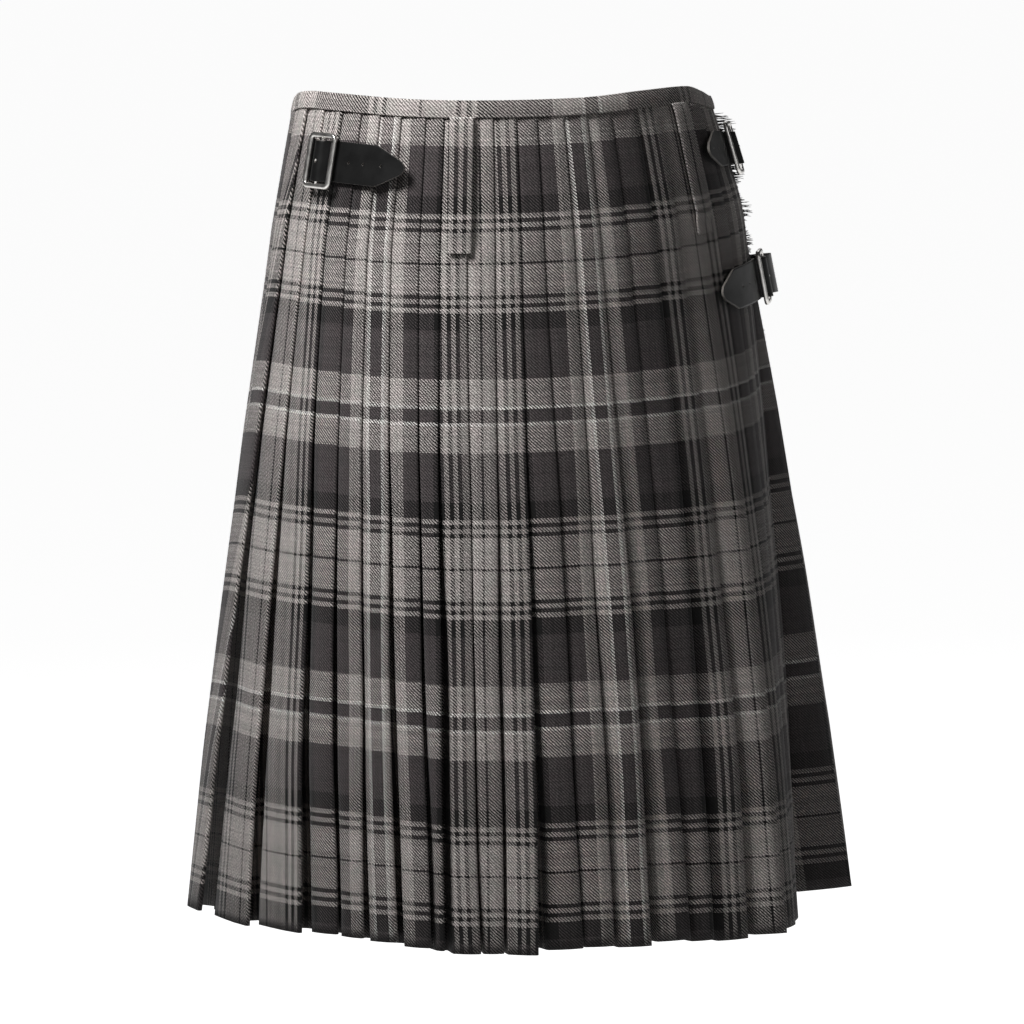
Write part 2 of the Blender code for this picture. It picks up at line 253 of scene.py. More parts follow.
class KILT_PG_cloth(bpy.types.PropertyGroup):
    """The tartan's yarns and weave."""

    light: colour_property("Light yarn", "Colour of the pale ground", (0.57, 0.535, 0.515))
    white: colour_property("White yarn", "Colour of the thin white line", (0.95, 0.94, 0.91))
    charcoal: colour_property("Charcoal yarn", "Colour of the broad grey band", (0.085, 0.074, 0.076))
    black: colour_property("Black yarn", "Colour of the black bands and lines", (0.009, 0.0085, 0.0085))
    thread: length_property("Thread spacing", "Distance from one thread to the next", 0.0002, 0.002, 0.00061)
    thickness: length_property("Cloth thickness", "Thickness of one layer of the wool", 0.0005, 0.002, 0.001)


class KILT_PG_trim(bpy.types.PropertyGroup):
    """The leather and the metal."""

    leather: colour_property("Leather", "Colour of the straps and tabs", (0.004, 0.004, 0.004))
    cut_edge: colour_property("Cut edge", "Colour of the leather's cut edge", (0.24, 0.22, 0.20))
    nickel: colour_property("Nickel", "Colour of the buckles' plating", (0.80, 0.78, 0.75))
    strap_thickness: length_property("Strap thickness", "Thickness of the leather", 0.001, 0.003, 0.0018)
    hole_radius: length_property("Hole radius", "Radius of the strap's holes", 0.001, 0.003, 0.0016)


class KILT_PG_stage(bpy.types.PropertyGroup):
    """The camera and the floor."""

    azimuth: angle_property("Camera azimuth", "Angle of the camera round the kilt, from the front", 156.0)
    elevation: angle_property("Camera elevation", "Angle of the camera above the middle of the kilt", 7.1)
    distance: length_property(
        "Camera distance", "Distance from the camera to the middle of the kilt", 1.0, 20.0, 4.6)
    roll: angle_property("Camera roll", "Turn of the camera about its own line of sight", -1.5)
    lens: bpy.props.FloatProperty(
        name="Lens", description="Focal length in millimetres", min=10.0, max=500.0, default=216.7)
    floor_drop: length_property("Floor drop", "Distance from the hem down to the floor", 0.0, 2.0, 0.35)


# ---------------------------------------------------------------- the form


def blend(low, high, share):
    return low + (high - low) * share


def clamp(value):
    return min(max(value, 0.0), 1.0)


def ease(value):
    share = clamp(value)
    return share * share * (3.0 - 2.0 * share)


def oval(drop):
    """The plain form's half width and half depth at a drop."""
    inside = min(max(drop, 0.0), LENGTH)
    for above, below in zip(SECTIONS, SECTIONS[1:]):
        if inside <= below.drop:
            share = (inside - above.drop) / (below.drop - above.drop)
            break
    return blend(above.half_width, below.half_width, share), blend(above.half_depth, below.half_depth, share)


def edge_height(edge, drop):
    if drop < HIP_DROP:
        return blend(edge.top, edge.hip, drop / HIP_DROP)
    return blend(edge.hip, edge.hem, (drop - HIP_DROP) / (LENGTH - HIP_DROP))


def rise(angle, drop):
    """How far the cloth is lifted at an angle and a drop, between the top edge's height and the hem's."""
    turned = (angle + 180.0) % 360.0 - 180.0
    low = max(index for index, edge in enumerate(EDGES[:-1]) if edge.angle <= turned)
    rounds = len(EDGES) - 1
    heights = []
    for index in (low - 1, low, low + 1, low + 2):
        edge = EDGES[index % rounds]
        heights.append((edge.angle + 360.0 * (index // rounds), edge_height(edge, drop)))
    (angle_a, a), (angle_b, b), (angle_c, c), (angle_d, d) = heights
    span = angle_c - angle_b
    slope_b = (c - a) / (angle_c - angle_a) * span
    slope_c = (d - b) / (angle_d - angle_b) * span
    share = (turned - angle_b) / span
    curve = 2.0 * (b - c) + slope_b + slope_c
    bend = 3.0 * (c - b) - 2.0 * slope_b - slope_c
    return b + share * (slope_b + share * (bend + share * curve))


def on_form(angle, drop, outward=0.0):
    """A point on the plain form, or that far out from it, in millimetres."""
    half_width, half_depth = oval(drop)
    sine, cosine = math.sin(math.radians(angle)), math.cos(math.radians(angle))
    normal = Vector((-sine / half_width, cosine / half_depth)).normalized()
    lean = WAIST_LEAN * clamp(1.0 - drop / LEAN_ENDS)
    plan = Vector((lean - half_width * sine, half_depth * cosine)) + normal * outward
    return Vector((plan.x, plan.y, rise(angle, drop) - drop))


def degrees_for(length, angle, drop):
    """How many degrees a length takes up round the plain form."""
    ahead = on_form(angle + 1.0, drop) - on_form(angle, drop)
    return length / ahead.xy.length


def swing(drop):
    """How far down its free fall from the sewn pleats a drop is: 0 at the top and 1 at the hem."""
    return clamp((drop - SWING_STARTS) / (LENGTH - SWING_STARTS))


def fold_angle(fold, drop):
    return blend(fold.sewn_angle, fold.hem_angle, swing(drop))


def arc_table(drop, centre, first, last, step=2.0):
    """Distances round the form from a centre angle, at even steps of angle."""
    count = max(1, round((last - first) / step))
    angles = [blend(first, last, index / count) for index in range(count + 1)]
    lengths = [0.0]
    for before, after in zip(angles, angles[1:]):
        lengths.append(lengths[-1] + (on_form(after, drop).xy - on_form(before, drop).xy).length)
    share = (centre - first) / (last - first) * count
    base = int(clamp(share / count) * (count - 1))
    zero = blend(lengths[base], lengths[base + 1], share - base)
    return first, (last - first) / count, [length - zero for length in lengths]


def arc_at(table, angle):
    first, step, lengths = table
    place = min(max((angle - first) / step, 0.0), len(lengths) - 1.001)
    base = int(place)
    return blend(lengths[base], lengths[base + 1], place - base)


# ---------------------------------------------------------------- making meshes


def add_sheet(name, rows, cloth_rows, materials, thickness, rim_material=0, holes=(), hole_radius=0.0):
    """A sheet through rows of points, from its lower edge up, with a wall's thickness.

    cloth_rows gives for each point its place on the flat cloth: across to the left, across to the right of
    it, and down. The two differ only where a hidden fold takes up cloth. holes are rows and columns.
    """
    columns, lines = len(rows[0]) - 1, len(rows) - 1
    shape = bmesh.new()
    layer = shape.loops.layers.uv.new("cloth")
    bmesh.ops.create_grid(shape, x_segments=columns, y_segments=lines, size=0.5)
    places = {}
    for vert in shape.verts:
        places[vert] = (round((vert.co.y + 0.5) * lines), round((vert.co.x + 0.5) * columns))
    for face in shape.faces:
        face.smooth = True
        left = min(places[vert][1] for vert in face.verts)
        for loop in face.loops:
            line, column = places[loop.vert]
            before, after, down = cloth_rows[line][column]
            loop[layer].uv = ((after if column == left else before) * MM, down * MM)
    for vert, (line, column) in places.items():
        vert.co = rows[line][column] * MM
    for vert in [vert for vert, place in places.items() if place in holes]:
        made = bmesh.ops.bevel(
            shape, geom=[vert], offset=hole_radius, offset_type="OFFSET", segments=2, profile=0.5,
            affect="VERTICES", material=-1)
        bmesh.ops.delete(shape, geom=made["faces"], context="FACES")
    return finish_sheet(name, shape, materials, thickness, rim_material)


def finish_sheet(name, shape, materials, thickness, rim_material=0):
    made = add_mesh(name, shape, materials)
    wall = made.modifiers.new("thickness", "SOLIDIFY")
    wall.thickness = thickness
    wall.offset = 0.0
    wall.use_even_offset = True
    wall.use_quality_normals = True
    wall.material_offset_rim = rim_material
    return made


def add_mesh(name, shape, materials):
    mesh = bpy.data.meshes.new(name)
    shape.to_mesh(mesh)
    shape.free()
    made = bpy.data.objects.new(name, mesh)
    bpy.context.scene.collection.objects.link(made)
    for material in materials:
        mesh.materials.append(material)
    return made


def declare(piece, slot, *nodes):
    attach(piece, "root")
    if nodes:
        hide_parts(*nodes)


# ---------------------------------------------------------------- shader nodes and materials


def new_group(name, inputs, outputs):
    """An empty shader node group with its sockets, and its two end nodes."""
    group = bpy.data.node_groups.new(name, "ShaderNodeTree")
    for socket, kind, default in inputs:
        made = group.interface.new_socket(socket, in_out="INPUT", socket_type=kind)
        if default is not None:
            made.default_value = default
    for socket, kind in outputs:
        group.interface.new_socket(socket, in_out="OUTPUT", socket_type=kind)
    return group, group.nodes.new("NodeGroupInput"), group.nodes.new("NodeGroupOutput")


def math_node(tree, operation, first, second=None, third=None):
    node = tree.nodes.new("ShaderNodeMath")
    node.operation = operation
    for socket, value in zip(node.inputs, (first, second, third)):
        if value is None:
            continue
        if isinstance(value, (int, float)):
            socket.default_value = value
        else:
            tree.links.new(value, socket)
    return node.outputs[0]


def mix_colour(tree, share, first, second, mode="MIX"):
    node = tree.nodes.new("ShaderNodeMix")
    node.data_type = "RGBA"
    node.blend_type = mode
    for socket, value in ((node.inputs[0], share), (node.inputs[6], first), (node.inputs[7], second)):
        if isinstance(value, (int, float, tuple)):
            socket.default_value = value
        else:
            tree.links.new(value, socket)
    return node.outputs[2]


# Heights of the twill's ridges and of each round thread, against each other.
RIDGE_HEIGHT = 0.5
THREAD_HEIGHT = 0.6
# How far the threads stray from straight, in threads.
THREAD_DRIFT = 1.6
# The wool's colour is multiplied by four effects, each a gain and an offset on a mask from 0 to 1: painted
# shade and highlight from the weave's relief, and the wool's own uneven tone from the yarns, the clouds and
# the nap.
PAINTED_RELIEF_SHADE = (1.05, 0.68)
YARN_TONE = (0.6, 0.7)
CLOUD_TONE = (0.16, 0.92)
NAP_TONE = (1.8, 0.1)
WARM_TINT = (1.08, 0.97, 1.0, 1.0)
COOL_TINT = (0.95, 1.02, 0.97, 1.0)


def noise_node(tree, place, scale, detail=2.0):
    """The outputs of a soft noise: its scale is in patches to the metre."""
    node = tree.nodes.new("ShaderNodeTexNoise")
    node.inputs["Scale"].default_value = scale
    node.inputs["Detail"].default_value = detail
    tree.links.new(place, node.inputs["Vector"])
    return node.outputs


def gained(tree, value, gain, offset):
    return math_node(tree, "MULTIPLY_ADD", value, gain, offset)


def split_place(tree, place):
    node = tree.nodes.new("ShaderNodeSeparateXYZ")
    tree.links.new(place, node.inputs[0])
    return node.outputs


def shared(collection, name):
    """Marks a function that makes a material or a node group: it runs once, and its result is shared."""
    def mark(make):
        def give():
            return getattr(bpy.data, collection).get(name) or make(name)
        return give
    return mark


@shared("node_groups", "Sett stripes")
def stripes_group(name):
    """The sett's colour at a distance across the cloth, mirrored at both pivots."""
    cloth = bpy.context.scene.kilt_cloth
    group, start, end = new_group(name, [("Across", "NodeSocketFloat", 0.0)], [("Colour", "NodeSocketColor")])
    half = HALF_SETT_WIDTH * MM
    folded = math_node(group, "PINGPONG", start.outputs["Across"], half)
    ramp = group.nodes.new("ShaderNodeValToRGB")
    ramp.color_ramp.interpolation = "CONSTANT"
    group.links.new(math_node(group, "DIVIDE", folded, half), ramp.inputs[0])
    elements = ramp.color_ramp.elements
    place = 0.0
    for index, stripe in enumerate(HALF_SETT):
        position = place / HALF_SETT_WIDTH
        if index < 2:
            element = elements[index]
            element.position = position
        else:
            element = elements.new(position)
        element.color = opaque(getattr(cloth, stripe.yarn))
        place += stripe.width
    group.links.new(ramp.outputs[0], end.inputs["Colour"])
    return group


@shared("node_groups", "Twill weave")
def twill_group(name):
    """A two and two twill: which thread lies on top, the relief, and each thread's own shade."""
    group, start, end = new_group(
        name, [("Cloth place", "NodeSocketVector", None), ("Thread", "NodeSocketFloat", 0.0006)],
        [("Warp on top", "NodeSocketFloat"), ("Height", "NodeSocketFloat"), ("Shade", "NodeSocketFloat")])
    across, down, _ = split_place(group, start.outputs["Cloth place"])
    warp = math_node(group, "DIVIDE", across, start.outputs["Thread"])
    weft = math_node(group, "DIVIDE", down, start.outputs["Thread"])
    warp_index = math_node(group, "FLOOR", warp)
    weft_index = math_node(group, "FLOOR", weft)
    turn = math_node(group, "FLOORED_MODULO", math_node(group, "SUBTRACT", warp_index, weft_index), 4.0)
    on_top = math_node(group, "LESS_THAN", turn, 1.5)
    ridge_phase = math_node(group, "MULTIPLY", math_node(group, "SUBTRACT", warp, weft), math.pi / 2.0)
    ridge = math_node(group, "SINE", math_node(group, "SUBTRACT", ridge_phase, 0.25 * math.pi))
    across_warp = math_node(group, "PINGPONG", warp, 0.5)
    across_weft = math_node(group, "PINGPONG", weft, 0.5)
    round_thread = math_node(group, "MINIMUM", across_warp, across_weft)
    height = gained(group, ridge, RIDGE_HEIGHT, math_node(group, "MULTIPLY", round_thread, THREAD_HEIGHT))
    both = group.nodes.new("ShaderNodeCombineXYZ")
    group.links.new(math_node(group, "MULTIPLY", warp_index, on_top), both.inputs[0])
    not_top = math_node(group, "SUBTRACT", 1.0, on_top)
    group.links.new(math_node(group, "MULTIPLY", weft_index, not_top), both.inputs[1])
    yarn = group.nodes.new("ShaderNodeTexWhiteNoise")
    yarn.noise_dimensions = "3D"
    group.links.new(both.outputs[0], yarn.inputs["Vector"])
    group.links.new(on_top, end.inputs["Warp on top"])
    group.links.new(height, end.inputs["Height"])
    group.links.new(yarn.outputs["Value"], end.inputs["Shade"])
    return group


def group_node(tree, group, **values):
    node = tree.nodes.new("ShaderNodeGroup")
    node.node_tree = group
    for name, value in values.items():
        socket = node.inputs[name.replace("_", " ")]
        if isinstance(value, (int, float)):
            socket.default_value = value
        else:
            tree.links.new(value, socket)
    return node


def opaque(colour, gain=1.0):
    """A colour with its alpha, made lighter or darker by a gain."""
    return (*(min(1.0, part * gain) for part in colour), 1.0)


def new_material(name, roughness, metallic=0.0, **sockets):
    material = bpy.data.materials.new(name)
    material.use_nodes = True
    shader = material.node_tree.nodes["Principled BSDF"]
    shader.inputs["Roughness"].default_value = roughness
    shader.inputs["Metallic"].default_value = metallic
    for socket, value in sockets.items():
        shader.inputs[socket.replace("_", " ")].default_value = value
    return material, material.node_tree, shader


def object_place(tree):
    return tree.nodes.new("ShaderNodeTexCoord").outputs["Object"]


def add_bump(tree, shader, height, strength, distance):
    bump = tree.nodes.new("ShaderNodeBump")
    bump.inputs["Strength"].default_value = strength
    bump.inputs["Distance"].default_value = distance
    tree.links.new(height, bump.inputs["Height"])
    tree.links.new(bump.outputs[0], shader.inputs["Normal"])


@shared("materials", "Tartan wool")
def tartan(name):
    """Matte wool twill: the sett both ways, the thread on top showing its own colour."""
    thread = bpy.context.scene.kilt_cloth.thread
    material, tree, shader = new_material(
        name, 0.9, Sheen_Weight=0.12, Sheen_Roughness=0.5, Specular_IOR_Level=0.2)
    on_cloth = tree.nodes.new("ShaderNodeUVMap")
    on_cloth.uv_map = "cloth"
    across, down, _ = split_place(tree, on_cloth.outputs[0])
    warp = group_node(tree, stripes_group(), Across=across).outputs[0]
    weft = group_node(tree, stripes_group(), Across=down).outputs[0]
    place = object_place(tree)
    moved = tree.nodes.new("ShaderNodeVectorMath")
    moved.operation = "MULTIPLY_ADD"
    moved.inputs[1].default_value = (thread * THREAD_DRIFT,) * 3
    tree.links.new(noise_node(tree, place, 260.0)["Color"], moved.inputs[0])
    tree.links.new(on_cloth.outputs[0], moved.inputs[2])
    weave = group_node(tree, twill_group(), Cloth_place=moved.outputs[0], Thread=thread).outputs
    colour = mix_colour(tree, weave["Warp on top"], weft, warp)
    hue = mix_colour(tree, noise_node(tree, place, 120.0, 6.0)["Fac"], WARM_TINT, COOL_TINT)
    colour = mix_colour(tree, 1.0, colour, hue, "MULTIPLY")
    clouds = noise_node(tree, place, 38.0, 4.0)["Fac"]
    nap = noise_node(tree, place, 950.0)["Fac"]
    # Painted shade and highlight: the weave's relief darkens the colour in its grooves and lightens it on its
    # ridges, times each yarn's own random tone.
    threads = math_node(tree, "MULTIPLY", gained(tree, weave["Height"], *PAINTED_RELIEF_SHADE),
                        gained(tree, weave["Shade"], *YARN_TONE))
    surface = math_node(tree, "MULTIPLY", gained(tree, clouds, *CLOUD_TONE), gained(tree, nap, *NAP_TONE))
    tone_and_painted_shade = math_node(tree, "MULTIPLY", threads, surface)
    grey = tree.nodes.new("ShaderNodeCombineColor")
    for socket in grey.inputs:
        tree.links.new(tone_and_painted_shade, socket)
    colour = mix_colour(tree, 1.0, colour, grey.outputs[0], "MULTIPLY")
    tree.links.new(colour, shader.inputs["Base Color"])
    add_bump(tree, shader, gained(tree, nap, 0.5, weave["Height"]), 0.6, 0.0003)
    return material


@shared("node_groups", "Leather grain")
def grain_group(name):
    """Leather grain: fine pebbles with a few long creases."""
    group, start, end = new_group(
        name, [("Place", "NodeSocketVector", None), ("Size", "NodeSocketFloat", 900.0)],
        [("Height", "NodeSocketFloat"), ("Wear", "NodeSocketFloat")])
    pebbles = group.nodes.new("ShaderNodeTexVoronoi")
    pebbles.feature = "SMOOTH_F1"
    group.links.new(start.outputs["Place"], pebbles.inputs["Vector"])
    group.links.new(start.outputs["Size"], pebbles.inputs["Scale"])
    creases = noise_node(group, start.outputs["Place"], 90.0, 5.0)["Fac"]
    group.links.new(gained(group, creases, 1.5, pebbles.outputs["Distance"]), end.inputs["Height"])
    group.links.new(creases, end.inputs["Wear"])
    return group


@shared("materials", "Black leather")
def leather(name):
    """Black glazed leather, a little uneven in its gloss."""
    black = bpy.context.scene.kilt_trim.leather
    material, tree, shader = new_material(
        name, 0.32, Specular_IOR_Level=0.2, Coat_Weight=0.05, Coat_Roughness=0.25)
    grain = group_node(tree, grain_group(), Place=object_place(tree), Size=1100.0).outputs
    colour = mix_colour(tree, grain["Wear"], opaque(black), opaque(black, 2.2))
    tree.links.new(colour, shader.inputs["Base Color"])
    tree.links.new(gained(tree, grain["Wear"], 0.25, 0.27), shader.inputs["Roughness"])
    add_bump(tree, shader, grain["Height"], 0.25, 0.0002)
    return material


@shared("materials", "Leather cut edge")
def leather_edge(name):
    """The straps' cut edge, paler than the glazed face."""
    pale = bpy.context.scene.kilt_trim.cut_edge
    material, tree, shader = new_material(name, 0.7)
    grain = group_node(tree, grain_group(), Place=object_place(tree), Size=1500.0).outputs
    colour = mix_colour(tree, grain["Wear"], opaque(pale, 0.45), opaque(pale))
    tree.links.new(colour, shader.inputs["Base Color"])
    return material


@shared("materials", "Nickel plate")
def nickel(name):
    """Bright nickel plate with faint smears and tarnish."""
    plate = bpy.context.scene.kilt_trim.nickel
    material, tree, shader = new_material(name, 0.2, 1.0)
    smears = noise_node(tree, object_place(tree), 160.0, 6.0)["Fac"]
    colour = mix_colour(tree, smears, opaque(plate, 0.62), opaque(plate))
    tree.links.new(colour, shader.inputs["Base Color"])
    tree.links.new(gained(tree, smears, 0.25, 0.2), shader.inputs["Roughness"])
    return material


@shared("materials", "Frayed yarn")
def yarn_ends(name):
    """Loose wool ends, each in the colour of its stripe with some charcoal in it."""
    charcoal = bpy.context.scene.kilt_cloth.charcoal
    material, tree, shader = new_material(name, 0.95, Sheen_Weight=0.3)
    place = object_place(tree)
    down = gained(tree, split_place(tree, place)[2], -1.0, -PIVOT_DROP * MM)
    stripe = group_node(tree, stripes_group(), Across=down).outputs[0]
    share = math_node(tree, "MULTIPLY", noise_node(tree, place, 900.0)["Fac"], 0.6)
    tree.links.new(mix_colour(tree, share, stripe, opaque(charcoal)), shader.inputs["Base Color"])
    return material


# ---------------------------------------------------------------- the cloth's shape

ALL_FOLDS = (APRON_FOLD, *FOLDS, PLEATS_END)
CLOTH_TOP = 7.0
PLEAT_ROWS = 72
APRON_ROWS = 48
APRON_STEPS = 96
UNDER_APRON_STEPS = 80
TUCK_STEPS = 4
FOLD_STEPS = 3
RETURN_STEPS = 2

# Sizes at the sewn pleats and at the hem: the radius of a fold, how far it turns back under itself, how much
# a pleat's face bulges, and how thick the over apron's fold is.
FOLD_RADIUS = (0.75, 1.3)
FOLD_BACK = (6.5, 13.0)
FACE_BULGE = (0.2, 1.0)
APRON_TURN = (1.5, 2.6)
# The pleats begin to open this far above the end of their stitching. Above it the hollow beside a fold has
# one depth and one open width; at the hem it is this much deeper than the fold's own hollow, and its open
# width is a share of that hollow.
OPEN_ABOVE_STITCHES = 20.0
SEWN_HOLLOW = 4.2
SEWN_GAP = 0.8
HEM_HOLLOW_MORE = 7.0
HEM_GAP_SHARE = 0.5
# How far the over apron waves in and out at the hem, and how far in the under apron starts there, to lie
# clear under the last pleat.
APRON_RIPPLE = 1.2
UNDER_APRON_DIP = 2.6


def wander(number, drop):
    """The small sway of one fold, sideways and outward, which grows below the sewn pleats."""
    free = ease((drop - SEWN_DROP) / (LENGTH - SEWN_DROP) * 1.6)
    sideways = math.sin(drop / 74.0 + number * 2.1) * 0.7 + math.sin(drop / 31.0 + number * 4.7) * 0.25
    outward = math.sin(drop / 96.0 + number * 3.3) * 1.4 + math.sin(drop / 41.0 + number * 1.3) * 0.5
    return sideways * free, outward * free


def fold_edges(drop):
    """Where each outer fold of the pleats is at a drop."""
    edges = []
    for number, fold in enumerate(ALL_FOLDS):
        sideways, outward = wander(number, drop)
        proud = 0.0 if number == 0 else fold.proud * swing(drop)
        angle = fold_angle(fold, drop)
        angle += degrees_for(sideways, angle, drop)
        edges.append(on_form(angle, drop, proud + outward))
    return edges


def hung(points, hang, drop):
    """Lowers points by a pleat's own hang, which grows from the sewn part to the hem."""
    lowered = hang * ease((drop - SEWN_DROP) / (LENGTH - SEWN_DROP))
    return [point - Vector((0.0, 0.0, lowered)) for point in points]


def level_frame(ahead):
    """The level direction of a step round the body, and the one out of the cloth."""
    along = Vector((ahead.x, ahead.y, 0.0)).normalized()
    return along, Vector((along.y, -along.x, 0.0)).normalized()


def pleat_stripe(number):
    """The stripe that a pleat shows at its middle, as a distance across the cloth."""
    return HALF_SETT_WIDTH + (number - CENTRE_PLEAT) * SETT / PLEATS_IN_SETT


def hollow_depth(fold, free):
    """How deep the hollow beside a fold is, from its sewn part, 0, to the hem, 1."""
    return blend(SEWN_HOLLOW, fold.hollow + HEM_HOLLOW_MORE, free)


def face_stations(length, back, gap):
    """Stations along a pleat's face, from under the fold before it to its own fold.

    Each is a share of the face's length, and how far down the hollow's depth the face is there. gap is the
    width of the hollow that shows beside the fold before it.
    """
    hollow_end = min((back + gap) / length, 0.6)
    rise_end = min(hollow_end + blend(1.6, 0.75 * gap, 0.8) / length, 0.85)
    stations = [(0.0, 1.0), (hollow_end * 0.5, 1.0), (hollow_end, 0.96)]
    for share, deep in ((0.35, 0.76), (0.7, 0.44), (1.0, 0.28)):
        stations.append((blend(hollow_end, rise_end, share), deep))
    for share, deep in ((0.33, 0.16), (0.66, 0.07), (1.0, 0.0)):
        stations.append((blend(rise_end, 1.0, share), deep))
    return stations


def turned_fold(centre, along, outward, radius, side):
    """Points round a folded edge, from its outer face to its inner one or back again."""
    points = []
    for step in range(1, FOLD_STEPS + 1):
        angle = math.pi * step / FOLD_STEPS
        points.append(centre + along * side * math.sin(angle) * radius + outward * math.cos(angle) * radius)
    return points


def pleats_row(drop):
    """The pleats' points at a drop, and their places on the flat cloth."""
    edges = fold_edges(drop)
    free = ease((drop - SEWN_DROP + OPEN_ABOVE_STITCHES) / (LENGTH - SEWN_DROP))
    radius = blend(*FOLD_RADIUS, free)
    back = blend(*FOLD_BACK, free)
    down = drop - PIVOT_DROP
    points, places = [], []
    for number in range(1, len(edges)):
        last = number == len(edges) - 1
        before, edge = edges[number - 1], edges[number]
        fold_before, fold = ALL_FOLDS[number - 1], ALL_FOLDS[number]
        along, outward = level_frame((edge if last else edges[number + 1]) - before)
        depth = hollow_depth(fold_before, free)
        start = points[-1] if points else before - along * back - outward * depth
        length = (edge - start).xy.length
        stations = face_stations(length, back, blend(SEWN_GAP, HEM_GAP_SHARE * fold_before.hollow, free))
        pleat = []
        for share, deep in stations[1 if points else 0:]:
            bulge = math.sin(math.pi * share ** 2.0) * blend(*FACE_BULGE, free)
            level = Vector((*start.xy.lerp(edge.xy, share), edge.z))
            pleat.append(level + outward * (bulge + depth * (1.0 - share - deep)))

        # The fold lies at its own stripe of the sett, and the face runs back from there.
        face = [start, *pleat] if points else pleat
        runs = [pleat_stripe(number) + FOLD_FROM_STRIPE]
        for ahead, behind in zip(reversed(face), reversed(face[:-1])):
            runs.insert(0, runs[0] - (ahead - behind).xy.length)
        if points:
            places[-1] = (places[-1][0], runs.pop(0), down)
        if not last:
            pleat += turned_fold(edge - outward * radius, along, outward, radius, 1.0)
            inner = edge - along * back - outward * (hollow_depth(fold, free) - 2.0 * radius)
            lower = pleat[-1]
            for step in range(1, RETURN_STEPS + 1):
                pleat.append(lower.lerp(inner, step / RETURN_STEPS))
            pleat += turned_fold(inner - outward * radius, along, outward, radius, -1.0)
        for index in range(len(runs), len(pleat)):
            runs.append(runs[-1] + (pleat[index] - pleat[index - 1]).length)
        points += hung(pleat, fold.hang, drop)
        places += [(run, run, down) for run in runs]
    return points, places


def apron_out(drop):
    return blend(APRON_OUT, APRON_OUT_HEM, swing(drop))


def apron_row(drop):
    """The over apron's points at a drop, from its free edge round the front to its tucked fold."""
    first = fold_angle(APRON_EDGE, drop) - 360.0
    last = fold_angle(APRON_FOLD, drop)
    table = arc_table(drop, -180.0, first, last)
    out = apron_out(drop)
    proud = out + (APRON_FOLD.proud - APRON_OUT_HEM) * swing(drop)
    points, runs = [], []
    for step in range(APRON_STEPS + 1):
        angle = blend(first, last, step / APRON_STEPS)
        near_fold = clamp(1.0 - (1.0 - step / APRON_STEPS) * 4.0)
        ripple = math.sin(math.radians(angle * 5.0) + drop / 300.0) * APRON_RIPPLE * swing(drop)
        points.append(on_form(angle, drop, blend(out, proud, near_fold) + ripple))
        runs.append(arc_at(table, angle))
    turn = blend(*APRON_TURN, swing(drop))
    radius = turn / 2.0
    along, outward = level_frame(points[-1] - points[-2])
    for point in turned_fold(points[-1] - outward * radius, along, outward, radius, 1.0):
        points.append(point)
        runs.append(runs[-1] + math.pi * radius / FOLD_STEPS)
    lower, run = points[-1], runs[-1]
    tucked = lower - along * APRON_RETURN - outward * radius
    for step in range(1, TUCK_STEPS + 1):
        points.append(lower.lerp(tucked, step / TUCK_STEPS))
        runs.append(run + APRON_RETURN * step / TUCK_STEPS)
    return points, [(place, place, drop - PIVOT_DROP) for place in runs]


def under_apron_row(drop):
    """The under apron's points at a drop, from the last pleat round the front to its free edge."""
    first = fold_angle(PLEATS_END, drop) - degrees_for(UNDER_APRON_LAP, PLEATS_END.hem_angle, drop)
    table = arc_table(drop, 180.0, first, UNDER_APRON_END)
    points, places = [], []
    for step in range(UNDER_APRON_STEPS + 1):
        angle = blend(first, UNDER_APRON_END, step / UNDER_APRON_STEPS)
        inward = UNDER_APRON_DIP * swing(drop) * (1.0 - ease(step / 8.0))
        points.append(on_form(angle, drop, UNDER_APRON_OUT - inward))
        place = arc_at(table, angle)
        places.append((place, place, drop - PIVOT_DROP))
    return points, places


# ---------------------------------------------------------------- operators, one for each kind of piece


def hang_panel(name, row_function, node, rows):
    """Makes a length of tartan that hangs from the band."""
    made = [row_function(blend(LENGTH, CLOTH_TOP, row / rows)) for row in range(rows + 1)]
    lines = [points for points, _ in made]
    thickness = bpy.context.scene.kilt_cloth.thickness
    piece = add_sheet(name, lines, [places for _, places in made], [tartan()], thickness)
    declare(piece, "kilt_cloth", node)


def round_edges(piece, name, width, segments):
    edge = piece.modifiers.new(name, "BEVEL")
    edge.width = width
    edge.segments = segments
    edge.limit_method = "ANGLE"
    return edge


class KILT_OT_pleats(bpy.types.Operator):
    """Make the pleated back, with its knife pleats sewn down over the hips"""

    bl_idname = "kilt.pleats"
    bl_label = "Pleated back"

    def execute(self, context):
        hang_panel("pleats", pleats_row, "pleated_back", PLEAT_ROWS)
        return {"FINISHED"}


class KILT_OT_aprons(bpy.types.Operator):
    """Make the over apron and the under apron"""

    bl_idname = "kilt.aprons"
    bl_label = "Aprons"

    def execute(self, context):
        hang_panel("apron_over", apron_row, "over_apron", APRON_ROWS)
        hang_panel("apron_under", under_apron_row, "under_apron", APRON_ROWS)
        return {"FINISHED"}


# The frayed yarns: how far apart they are, how long and how far out they stand where the edge is smooth and
# where they clump, how much more they do so in the tuft by the band, and where the tuft and the clumps end.
FRINGE_TOP = 16.0
FRINGE_SPACING = (0.5, 0.9)
FRINGE_LENGTH = (4.0, 12.0)
FRINGE_OUT = (0.3, 8.0)
TUFT_LONGER = 4.0
TUFT_OUT = 3.0
TUFT_DROP = 48.0
CLUMPS_DROP = 105.0
YARN_ROOT_RADIUS = 0.45
YARN_TIP_RADIUS = 0.12


